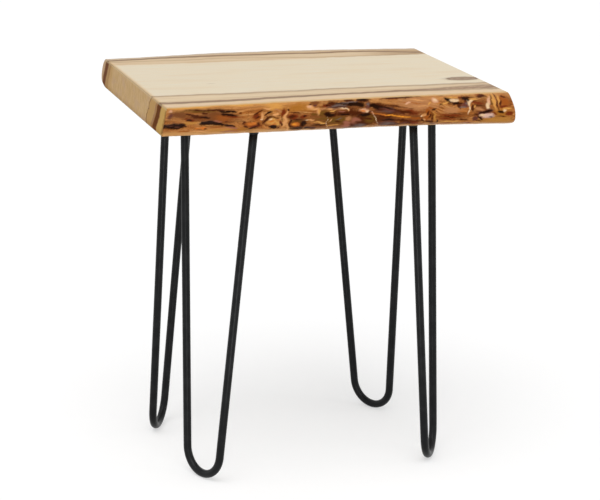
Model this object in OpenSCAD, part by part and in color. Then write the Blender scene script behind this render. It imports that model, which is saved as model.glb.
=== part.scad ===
// Live-edge slab side table on four two-rod hairpin legs.
// Millimetres, +Z up. The origin is on the floor under the middle of the slab.
// The grain runs along X, and the live edge that shows most faces -Y.

/* [Slab] */
// Length of the slab along the grain
slab_len = 481; // [420:1:700]
// Width of the slab across its widest points
slab_w = 414; // [390:1:560]
// Thickness of the slab
slab_t = 43; // [34:1:60]
// Rounding where a live edge meets the top or the underside
rim_r = 3; // [1.5:0.5:6]
// Easing of the arrises round the sawn ends
end_ease = 1.2; // [0.6:0.1:2.5]
// Height of the ripples along the live edges
ripple = 0.8; // [0:0.1:1.5]
// Depth of the bark pockets, as a multiple of the depths in the list below
pocket_depth = 1; // [0:0.1:1.5]
// Height of the live edges' fullest line, as a share of the thickness
crest = 0.3; // [0.2:0.05:0.6]

/* [Hairpin legs] */
// Height of a leg, from the floor to the underside of the slab
leg_h = 508; // [380:1:720]
// Diameter of the coated rod
rod_d = 11.4; // [8:0.2:13]
// Distance between a leg's two rods at the plate
rod_spread = 143.5; // [124:0.5:160]
// Radius of the bend at the foot, to the middle of the rod
bend_r = 35; // [24:1:48]
// How much thinner the bar is drawn in its bend
bend_draw = 0.1; // [0.05:0.05:0.4]
// How far a foot stands outside the line between its two rod tops
splay = 30; // [0:1:60]
// Leg of the fillet weld round a rod's top
weld = 3; // [2:0.5:4]
// How far the weld's lower edge stands off the rod
weld_toe = 0.6; // [0.2:0.1:1]

/* [Mounting plates] */
// Thickness of the steel plate
plate_t = 3; // [2.5:0.5:6]
// Width of each of the plate's two arms
arm_w = 18; // [16:1:26]
// Distance between the screws along an arm
screw_pitch = 30; // [18:1:34]
// Clearance round a screw in the plate
plate_clear = 0.7; // [0.3:0.1:1.2]

/* [Screws] */
// Diameter of the screw
screw_d = 4.8; // [4:0.1:5.5]
// Length of the screw under its head
screw_len = 25; // [18:1:28]
// Length of the screw's point
screw_tip = 4; // [2:0.5:6]
// Diameter of the pan head
head_d = 9.5; // [8.5:0.1:11]
// Height of the pan head
head_h = 3.2; // [2.4:0.1:4]
// Width of the cross recess, from end to end
recess_w = 5; // [3:0.1:6]
// Width of one slot of the cross recess
recess_slot = 1; // [0.6:0.1:1.4]
// Depth of the cross recess
recess_depth = 1.8; // [1:0.1:2]
// Diameter of the screw's point
point_d = 0.8; // [0.6:0.1:1.5]
// Clearance round and past the screw in its hole in the slab
hole_clear = 0.1; // [0.05:0.05:0.5]

/* [Leg placement: front left, front right, back left, back right] */
// Turn of each plate: the angle between its two rods' line and the grain
plate_turn = [64.5, 58.5, 61.5, 58.5]; // [50:0.5:75]
// Distance from each leg's outer rod to the slab's widest line
edge_inset = [64, 64, 44, 43]; // [36:1:70]
// Distance from each plate's corner to the slab's end
end_inset = [35.5, 24.5, 27, 43]; // [20:0.5:60]
// How far each foot stands off the middle of its plate, along the plate
foot_lean = [-6.5, 8.5, -3, 6]; // [-10:0.5:10]

/* [Hidden] */
$fn = 64;

WOOD = [0.88, 0.79, 0.62];
BLACK = [0.12, 0.12, 0.13];
ZINC = [0.62, 0.63, 0.65];

// The four legs, as places in the placement lists, and the sides that they stand on
FRONT_LEFT = 0;
FRONT_RIGHT = 1;
BACK_LEFT = 2;
BACK_RIGHT = 3;
SIDE_X = [-1, 1, -1, 1];
SIDE_Y = [-1, -1, 1, 1];

// Lines of the two live edges at seven even stations from the left end to the right end.
// A setback is measured inwards from the slab's widest line, and a belly bulges outwards.
front_top = [16, 21, 24, 26, 28, 27, 28];
front_bottom = [44, 44, 43, 44, 44, 40, 31];
front_belly = [0, 7, 12, 15, 19, 24, 27];
back_top = [29, 22, 11, 10, 13, 20, 28];
back_bottom = [26, 22, 20, 20, 20, 24, 28];
back_belly = [24, 15, 8, 8, 10, 14, 20];

// Bark pockets and burls of the front live edge, chosen by eye: the distance from the left end
// and the height above the underside as shares of the slab, then the half length, the half
// height and the depth. A burl stands proud, so its depth is negative.
pockets = [
    [0.03, 0.37, 10, 5, 1.5],
    [0.13, 0.40, 20, 4, 1.8],
    [0.11, 0.78, 26, 5, 1.2],
    [0.31, 0.55, 15, 9, -1.8],
    [0.375, 0.35, 9, 6, 2.2],
    [0.53, 0.78, 34, 5, 2.5],
    [0.53, 0.42, 22, 5, 1.8],
    [0.75, 0.35, 11, 7, -1.6],
    [0.84, 0.70, 17, 5, 2.4],
    [0.93, 0.25, 12, 6, 2.4],
    [0.96, 0.62, 7, 9, -1.4]
];

// Ripples of a live edge as three waves. Each has its share of the height, its degrees for each
// millimetre along the grain and up the edge, and its multiple of the edge's own phase.
ripple_waves = [[0.6, 4.1, 3, 1], [0.5, 9.7, -7, 2], [0.4, 17.3, 11, -1]];
front_phase = 20;
back_phase = 140;

// Distance that a cut runs on past the face where it starts
past = 1;

// Spacing of the slab's cross-sections, and the steps down a live edge and round its rims
station_step = 5;
face_steps = 10;
rim_steps = 2;
end_steps = 2;
stations = ceil(slab_len / station_step);

// Value at share u of the way along a list of even stations, on a smooth curve through them all
function along(list, u) =
    let (
        last = len(list) - 1,
        at = min(max(u, 0), 1) * last,
        i = min(floor(at), last - 1),
        t = at - i,
        before = list[max(i - 1, 0)],
        from = list[i],
        to = list[i + 1],
        after = list[min(i + 2, last)]
    )
    from + t / 2 * (to - before
        + t * (2 * before - 5 * from + 4 * to - after
        + t * (3 * (from - to) + after - before)));

// Bulge of a live edge at share s of the height: full at the crest and none at the faces
function hump(s) =
    s > crest
        ? 1 - pow((s - crest) / (1 - crest), 2)
        : 1 - pow((crest - s) / crest, 3);

function sum(list, i = 0) = i >= len(list) ? 0 : list[i] + sum(list, i + 1);

// Small ripples that run mostly along the grain
function ripples(x, z, phase) =
    ripple * sum([for (w = ripple_waves) w[0] * sin(w[1] * x + w[2] * z + w[3] * phase)]);

// Depth of one pocket at a point of the front edge
function dent(pocket, x, z) =
    let (
        dx = (x - pocket[0] * slab_len) / pocket[2],
        dz = (z - pocket[1] * slab_t) / pocket[3]
    )
    pocket[4] * exp(-dx * dx - dz * dz);

// Setbacks of the two live edges at distance x from the left end and height z over the underside
function front_setback(x, z) =
    let (u = x / slab_len, s = z / slab_t)
    along(front_bottom, u) * (1 - s) + along(front_top, u) * s
        - along(front_belly, u) * hump(s)
        + ripples(x, z, front_phase)
        + pocket_depth * sum([for (p = pockets) dent(p, x, z)]);

function back_setback(x, z) =
    let (u = x / slab_len, s = z / slab_t)
    along(back_bottom, u) * (1 - s) + along(back_top, u) * s
        - along(back_belly, u) * hump(s)
        + ripples(x, z, back_phase);

// Steps up a live edge: [height, extra setback of the rounded rims]
rim_up = [for (i = [0:rim_steps]) let (a = 90 * i / rim_steps) [rim_r * (1 - cos(a)), rim_r * (1 - sin(a))]];
face_up = [for (i = [1:face_steps - 1]) [rim_r + (slab_t - 2 * rim_r) * i / face_steps, 0]];
rim_down = [for (i = [rim_steps:-1:0]) [slab_t - rim_up[i][0], rim_up[i][1]]];
steps_up = concat(rim_up, face_up, rim_down);

// Distances of the cross-sections from the left end, with the shrinkage of the eased ends
ease_in = [for (i = [0:end_steps]) let (a = 90 * i / end_steps) [end_ease * (1 - cos(a)), end_ease * (1 - sin(a))]];
middle = [for (i = [1:stations - 1]) [end_ease + (slab_len - 2 * end_ease) * i / stations, 0]];
ease_out = [for (i = [end_steps:-1:0]) [slab_len - ease_in[i][0], ease_in[i][1]]];
sections = concat(ease_in, middle, ease_out);

// Least setbacks, so that the widest points of both edges lie on the slab's widest lines
full = [for (c = sections) if (c[1] == 0) c[0]];
front_least = min([for (x = full) for (step = steps_up) front_setback(x, step[0]) + step[1]]);
back_least = min([for (x = full) for (step = steps_up) back_setback(x, step[0]) + step[1]]);

// One cross-section, anticlockwise seen from +X: up the back edge and down the front edge
function section(c) =
    let (
        x = c[0],
        shrink = c[1],
        keep_y = 1 - 2 * shrink / slab_w,
        keep_z = 1 - 2 * shrink / slab_t,
        back = [for (step = steps_up)
            [slab_w / 2 - back_setback(x, step[0]) + back_least - step[1], step[0]]],
        front = [for (i = [len(steps_up) - 1:-1:0]) let (step = steps_up[i])
            [-slab_w / 2 + front_setback(x, step[0]) - front_least + step[1], step[0]]]
    )
    [for (p = concat(back, front))
        [x - slab_len / 2, p[0] * keep_y, slab_t / 2 + (p[1] - slab_t / 2) * keep_z]];

// Slab lofted through its cross-sections, with its underside at z = 0
module slab_blank() {
    ring = 2 * len(steps_up);
    last = len(sections) - 1;
    points = [for (c = sections) each section(c)];
    left_end = [for (i = [0:ring - 1]) i];
    right_end = [for (i = [ring - 1:-1:0]) last * ring + i];
    sides = [for (k = [0:last - 1]) for (i = [0:ring - 1])
        let (j = (i + 1) % ring)
        [k * ring + i, (k + 1) * ring + i, (k + 1) * ring + j, k * ring + j]];
    polyhedron(points, concat([left_end, right_end], sides), convexity = 6);
}

// Plate in its own frame: its two rods stand on X, and its corner points along +Y
corner_y = rod_spread / 2;
screw_spots = [for (i = [-2:2])
    [sign(i) * abs(i) * screw_pitch / sqrt(2), corner_y - abs(i) * screw_pitch / sqrt(2)]];

// Puts its children in the frame of one leg, with z = 0 on the floor
module at_leg(leg) {
    out_x = SIDE_X[leg] * sin(plate_turn[leg]);
    out_y = SIDE_Y[leg] * cos(plate_turn[leg]);
    x = SIDE_X[leg] * (slab_len / 2 - end_inset[leg]) - corner_y * out_x;
    y = SIDE_Y[leg] * (slab_w / 2 - edge_inset[leg] - rod_spread / 2 * sin(plate_turn[leg]));
    translate([x, y, 0])
        rotate([0, 0, atan2(out_y, out_x) - 90])
            children();
}

// Measures of the bent rod, in the tilted plane of the hairpin. The straight stretches lap a
// little way over the thinner bend.
foot_z = (rod_d - bend_draw) / 2;
lap = 0.5;
drop = leg_h - plate_t - foot_z;
tilt = atan(splay / drop);
rise = drop / cos(tilt) - bend_r;

// Angle by which a straight stretch leans outwards, tangent to the bend
function rod_lean(reach) = acos(bend_r / norm([reach, rise])) - atan2(rise, reach);

// One straight stretch, from its tangent point on the bend to above the cut under the plate
module straight(reach) {
    length = sqrt(reach * reach + rise * rise - bend_r * bend_r);
    translate([0, 0, bend_r])
        rotate([0, rod_lean(reach), 0])
            translate([bend_r, 0, -lap])
                cylinder(d = rod_d, h = length + rod_d + lap);
}

// Round bar bent into a hairpin, with its ends cut flat and welded under the plate
module rod(leg) {
    lean = foot_lean[leg];
    right = rod_spread / 2 - lean;
    left = rod_spread / 2 + lean;
    room = 4 * rod_spread;
    color(BLACK) at_leg(leg) {
        intersection() {
            translate([lean, splay, foot_z]) rotate([tilt, 0, 0]) {
                straight(right);
                mirror([1, 0, 0]) straight(left);
                translate([0, 0, bend_r])
                    rotate([90, 0, 0])
                        rotate([0, 0, rod_lean(left) - 180])
                            rotate_extrude(angle = 180 - rod_lean(left) - rod_lean(right))
                                translate([bend_r, 0]) circle(d = rod_d - bend_draw);
            }
            translate([-room / 2, -room / 2, -past])
                cube([room, room, leg_h - plate_t + past]);
        }
        for (side = [-1, 1])
            translate([side * rod_spread / 2, 0, leg_h - plate_t - weld])
                cylinder(d1 = rod_d + 2 * weld_toe, d2 = rod_d + 2 * weld, h = weld);
    }
}

// Arc of a plate's outline round one of its three centres, clockwise, a point every arc_step
arc_step = 9;
function arc(centre, from, to) =
    [for (a = [from:-arc_step:to]) centre + arm_w / 2 * [cos(a), sin(a)]];

// Outline of a plate: two arms at a right angle, round at the rods and at the corner
module plate_outline() {
    polygon(concat(
        arc([0, corner_y], 135, 45),
        arc([rod_spread / 2, 0], 45, -135),
        [[0, corner_y - arm_w / sqrt(2)]],
        arc([-rod_spread / 2, 0], -45, -225)
    ));
}

module plate(leg) {
    color(BLACK) at_leg(leg)
        translate([0, 0, leg_h - plate_t])
            linear_extrude(plate_t)
                difference() {
                    plate_outline();
                    for (spot = screw_spots)
                        translate(spot) circle(d = screw_d + 2 * plate_clear);
                }
}

// Pan-head wood screw, pointing up, with its head's seat at z = 0 and a crowned head
crown_r = head_d;
module screw() {
    difference() {
        union() {
            rotate_extrude()
                intersection() {
                    translate([0, -head_h]) square([head_d / 2, head_h]);
                    translate([0, crown_r - head_h]) circle(r = crown_r);
                }
            cylinder(d = screw_d, h = screw_len - screw_tip);
            translate([0, 0, screw_len - screw_tip])
                cylinder(d1 = screw_d, d2 = point_d, h = screw_tip);
        }
        for (turn = [0, 90])
            rotate(turn)
                translate([-recess_w / 2, -recess_slot / 2, -head_h - past])
                    cube([recess_w, recess_slot, recess_depth + past]);
    }
}

module screws(leg) {
    color(ZINC) at_leg(leg)
        for (spot = screw_spots)
            translate([spot[0], spot[1], leg_h - plate_t]) screw();
}

// Holes that the screws of one leg have cut in the slab
module screw_holes(leg) {
    depth = screw_len - plate_t + hole_clear;
    at_leg(leg)
        for (spot = screw_spots)
            translate([spot[0], spot[1], leg_h - past])
                cylinder(d = screw_d + 2 * hole_clear, h = depth + past);
}

module slab_top() {
    color(WOOD)
        difference() {
            translate([0, 0, leg_h]) slab_blank();
            for (leg = [FRONT_LEFT:BACK_RIGHT]) screw_holes(leg);
        }
}

slab_top();
rod(FRONT_LEFT);  // front_left_rod
rod(FRONT_RIGHT);  // front_right_rod
rod(BACK_LEFT);  // back_left_rod
rod(BACK_RIGHT);  // back_right_rod
plate(FRONT_LEFT);  // front_left_plate
plate(FRONT_RIGHT);  // front_right_plate
plate(BACK_LEFT);  // back_left_plate
plate(BACK_RIGHT);  // back_right_plate
screws(FRONT_LEFT);  // front_left_screws
screws(FRONT_RIGHT);  // front_right_screws
screws(BACK_LEFT);  // back_left_screws
screws(BACK_RIGHT);  // back_right_screws
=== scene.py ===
"""A live-edge slab side table on four two-rod hairpin legs, dressed for a plain studio.

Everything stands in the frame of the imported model: metres, +Z up, the floor at z = 0. The grain
runs along X, and the live edge that shows most faces -Y. Sizes below are in millimetres, and
MM turns them into metres. Colours are written as sRGB values from 0 to 255.
"""
import math
import random

import bpy
import numpy as np
from mathutils import Euler, Matrix, Vector, noise


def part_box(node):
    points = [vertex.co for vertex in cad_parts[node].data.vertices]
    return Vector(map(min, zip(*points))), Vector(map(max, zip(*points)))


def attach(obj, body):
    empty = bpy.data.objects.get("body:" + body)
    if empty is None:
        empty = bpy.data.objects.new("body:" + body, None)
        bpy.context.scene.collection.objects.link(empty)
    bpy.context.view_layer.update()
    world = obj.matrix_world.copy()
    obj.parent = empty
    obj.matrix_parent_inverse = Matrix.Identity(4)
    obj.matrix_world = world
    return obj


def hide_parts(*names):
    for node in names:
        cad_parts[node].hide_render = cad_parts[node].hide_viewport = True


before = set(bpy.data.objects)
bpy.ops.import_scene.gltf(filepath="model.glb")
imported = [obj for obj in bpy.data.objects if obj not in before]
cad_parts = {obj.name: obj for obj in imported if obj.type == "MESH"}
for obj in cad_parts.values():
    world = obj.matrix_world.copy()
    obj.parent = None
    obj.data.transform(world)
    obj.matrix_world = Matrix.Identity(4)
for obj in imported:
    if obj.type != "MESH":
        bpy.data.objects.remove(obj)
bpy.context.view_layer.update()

MM = 0.001


# Sizes of the CAD slab, in millimetres

SLAB_LOW, SLAB_HIGH = [np.array(corner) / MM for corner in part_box("slab_top")]
SLAB_LEN, SLAB_W, SLAB_T = SLAB_HIGH - SLAB_LOW
UNDERSIDE = SLAB_LOW[2]

# Lines of the two live edges, as in the part's own loft: setbacks from the slab's widest lines at
# seven even stations from the left end to the right end
FRONT_TOP = (16, 21, 24, 26, 28, 27, 28)
FRONT_BOTTOM = (44, 44, 43, 44, 44, 40, 31)
FRONT_BELLY = (0, 7, 12, 15, 19, 24, 27)
BACK_TOP = (29, 22, 11, 10, 13, 20, 28)
BACK_BOTTOM = (26, 22, 20, 20, 20, 24, 28)
BACK_BELLY = (24, 15, 8, 8, 10, 14, 20)
CREST = 0.3
RIM_R = 3
END_EASE = 1.2
RIPPLE = 0.8
RIPPLE_WAVES = ((0.6, 4.1, 3, 1), (0.5, 9.7, -7, 2), (0.4, 17.3, 11, -1))
FRONT_PHASE = 20
BACK_PHASE = 140

# Bark pockets and burls of the front edge: share along, share up, half length, half height, depth
POCKETS = (
    (0.03, 0.37, 10, 5, 1.5),
    (0.13, 0.40, 20, 4, 1.8),
    (0.11, 0.78, 26, 5, 1.2),
    (0.31, 0.55, 15, 9, -1.8),
    (0.375, 0.35, 9, 6, 2.2),
    (0.53, 0.78, 34, 5, 2.5),
    (0.53, 0.42, 22, 5, 1.8),
    (0.75, 0.35, 11, 7, -1.6),
    (0.84, 0.70, 17, 5, 2.4),
    (0.93, 0.25, 12, 6, 2.4),
    (0.96, 0.62, 7, 9, -1.4),
)

# Sizes and places of the hairpin legs, as in the part: front left, front right, back left, back
# right
LEGS = ("front_left", "front_right", "back_left", "back_right")
SIDE_X = (-1, 1, -1, 1)
SIDE_Y = (-1, -1, 1, 1)
PLATE_TURN = (64.5, 58.5, 61.5, 58.5)
EDGE_INSET = (64, 64, 44, 43)
END_INSET = (35.5, 24.5, 27, 43)
FOOT_LEAN = (-6.5, 8.5, -3, 6)
ROD_D = 11.4
ROD_SPREAD = 143.5
BEND_R = 35
BEND_DRAW = 0.1
SPLAY = 30
WELD = 3
WELD_TOE = 0.6
PLATE_T = 3

# Heart streaks of the top, as distances in from the front live edge at seven even stations, and
# half the width of the second one
STREAK_1 = (83, 78, 76, 76, 77, 77, 78)
STREAK_2 = (36, 31, 35, 39, 41, 43, 47)
STREAK_2_HALF = (8, 8, 7.5, 6.5, 7, 12, 20)
# Brown zone along the back edge, as distances in from the back live edge: its dark line, its
# second line and its limit towards the pale wood
BACK_LINE = (20, 17, 26, 27, 27, 22, 37)
BACK_SECOND = (32, 40, 48, 56, 66, 60, 44)
BACK_LIMIT = (58, 68, 78, 78, 74, 63, 55)
# How far the streaks have moved inwards at these heights over the underside, and the back ones
# outwards
DRIFT_HEIGHTS = (5, 15, 25, 36, 43)
STREAK_1_DRIFT = (32, 27, 17, 10, 0)
STREAK_2_DRIFT = (34, 24, 14, 8, 0)
BACK_DRIFT = (29, 24, 15, 7, 0)
# Where the brown zone darkens into a wedge towards the right end, and where the second streak
# parts into strands: the start and the end of each change along X
WEDGE_FROM = (130, 205)
SEAMS_FROM = (110, 170)
# Knot of the top, its tail, where the grain parts round it, and a short dash: place from the
# slab's middle and half sizes
TOP_KNOT = (217, -71, 25, 13)
TOP_TAIL = (237, -70, 14, 4)
TOP_PARTING = (217, -71, 20, 12)
TOP_DASH = (-141, -37, 8, 0.9)

# Colours of the sawn wood
CREAM = (221, 210, 187)
CREAM_WARM = (223, 206, 175)
TAN = (198, 165, 125)
TAN_LIGHT = (217, 192, 154)
BLUSH_WOOD = (220, 189, 152)
STREAK_BROWN = (150, 116, 82)
STREAK_TAUPE = (126, 96, 64)
STREAK_MAUVE = (151, 118, 89)
BACK_TAN = (183, 149, 106)
BACK_BROWN = (122, 91, 55)
BACK_MIDDLE = (156, 123, 83)
BACK_WEDGE = (172, 140, 102)
KNOT_HEART = (140, 110, 82)
KNOT_RIM = (106, 80, 50)
# Painted highlight along the left end's arris, on the top
TOP_ARRIS_HIGHLIGHT = (206, 168, 116)
END_TAN = (212, 176, 124)
END_LIGHT = (222, 188, 140)
END_GOLD = (206, 154, 84)
END_BROWN = (140, 84, 36)
END_DARK = (96, 46, 4)
END_MAUVE = (164, 116, 88)
END_OCHRE = (200, 156, 94)
END_UMBER = (116, 70, 42)
END_ROSE = (210, 176, 142)
END_STRAW = (218, 176, 94)
# Painted highlight along the top arris of the sawn ends
END_ARRIS_HIGHLIGHT = (234, 212, 168)
# Colours of a live edge's rim, from its inner side outwards
RIM_COLOURS = {
    "front": ((206, 172, 118), (206, 162, 94)),
    "back": ((194, 170, 138), (186, 164, 138)),
}
# How far the bark's colour reaches in over the rim, at seven even stations
FRONT_REACH = (5, 5, 6, 7, 7, 6, 6)
BACK_REACH = (6, 5, 8, 6, 7, 5, 6)

# Colours of the live edges' skin. Black is what it fades to where the marks' own colour is
# added to it.
BLACK = (0, 0, 0)
SKIN_DEEP = (118, 64, 22)
SKIN = (174, 106, 50)
SKIN_LIGHT = (202, 144, 84)
SKIN_PALE = (220, 168, 104)
SKIN_LINE = (70, 34, 12)

# Colours of the marks on the live edges, each with the depth of its relief in millimetres
MARK_COLOURS = {
    "char": ((28, 8, 3), 0.8),
    "umber": ((72, 29, 8), 0.45),
    "walnut": ((118, 68, 34), 0.1),
    "oxblood": ((112, 44, 16), 0.25),
    "plum": ((98, 54, 44), 0.25),
    "slate": ((104, 86, 80), 0.0),
    "olive": ((106, 72, 24), 0.15),
    "rust": ((150, 78, 26), 0.0),
    "ember": ((200, 112, 44), -0.15),
    "honey": ((208, 148, 74), -0.25),
    "peach": ((214, 152, 94), -0.3),
    "blush": ((214, 162, 126), -0.35),
    # The palest colour is a painted highlight: bone-pale spots that stand in for glints of the
    # varnish
    "bone_glint": ((226, 190, 148), -0.4),
    "fawn": ((174, 118, 74), 0.0),
    "gold": ((186, 128, 58), 0.0),
    "bronze": ((164, 104, 38), 0.0),
    "glow": ((230, 144, 44), -0.15),
    "rose": ((152, 92, 70), 0.0),
    "ash": ((214, 176, 158), -0.25),
}

# Knots of the front live edge, which the grain flows round: distance from the slab's middle,
# height over the underside and radius
FRONT_KNOTS = (
    (-225, 15, 4), (-180, 19, 4), (-124, 14, 8), (-97, 20, 11), (-93, 11, 4), (-62, 13, 8),
    (-17, 25, 6), (9, 29, 4), (30, 25, 7), (118, 18, 8), (155, 36, 6), (172, 33, 6),
    (200, 17, 7), (204, 33, 5), (228, 33, 8),
)
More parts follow.
